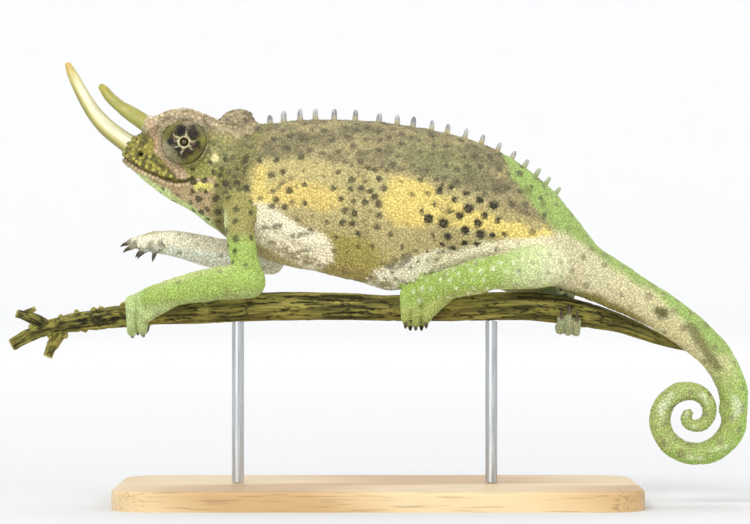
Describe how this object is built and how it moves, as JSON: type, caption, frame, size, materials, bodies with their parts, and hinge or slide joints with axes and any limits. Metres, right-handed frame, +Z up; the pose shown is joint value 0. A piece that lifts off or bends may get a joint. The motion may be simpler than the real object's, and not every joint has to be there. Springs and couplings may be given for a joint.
{
  "type": "chameleon",
  "caption": "Life-size still model of an adult male three-horned chameleon gripping a cut branch, its tail coiled, on a plain display stand.",
  "frame": {"origin": "centre of the whole model's box, on the underside of the stand's base", "axes": "+X from the head towards the tail, -Y towards the animal's left side, +Z up"},
  "size_m": [0.2218, 0.072, 0.1323],
  "materials": {
    "head_skin": "matte scaly skin, olive, yellow-green and pinkish tan",
    "body_skin": "matte scaly skin, khaki and yellow with dark spots",
    "tail_skin": "matte scaly skin, green over cream",
    "limb_skin": "matte scaly skin, bright green with pale ring spots",
    "horn": "satin ringed horn, ivory and olive",
    "eye_turret": "dark scaly eye turret with pale rays",
    "eyeball": "glossy dark eye",
    "bark": "dull olive-brown bark with dark furrows",
    "stand_wood": "satin pale ash",
    "stand_metal": "brushed steel"
  },
  "bodies": {
    "root": {"eye_left": "eye_turret", "eye_right": "eye_turret", "eyeball_left": "eyeball", "eyeball_right": "eyeball", "foot_left": "limb_skin", "foot_left_toes_inner": "limb_skin", "foot_left_toes_outer": "limb_skin", "foot_right": "limb_skin", "foot_right_toes_inner": "limb_skin", "foot_right_toes_outer": "limb_skin", "forearm_left": "limb_skin", "forearm_right": "limb_skin", "hand_left": "limb_skin", "hand_left_toes_inner": "limb_skin", "hand_left_toes_outer": "limb_skin", "hand_right": "limb_skin", "hand_right_toes_inner": "limb_skin", "hand_right_toes_outer": "limb_skin", "head": "head_skin", "horn_brow_left": "horn", "horn_brow_right": "horn", "horn_nose": "horn", "lower_jaw": "head_skin", "neck": "body_skin", "perch_branch": "bark", "shank_left": "limb_skin", "shank_right": "limb_skin", "stand_base": "stand_wood", "stand_rod_front": "stand_metal", "stand_rod_rear": "stand_metal", "tail_base": "tail_skin", "tail_bend": "tail_skin", "tail_coil": "tail_skin", "tail_middle": "tail_skin", "thigh_left": "limb_skin", "thigh_right": "limb_skin", "trunk": "body_skin", "upper_arm_left": "limb_skin", "upper_arm_right": "limb_skin"}
  },
  "joints": []
}
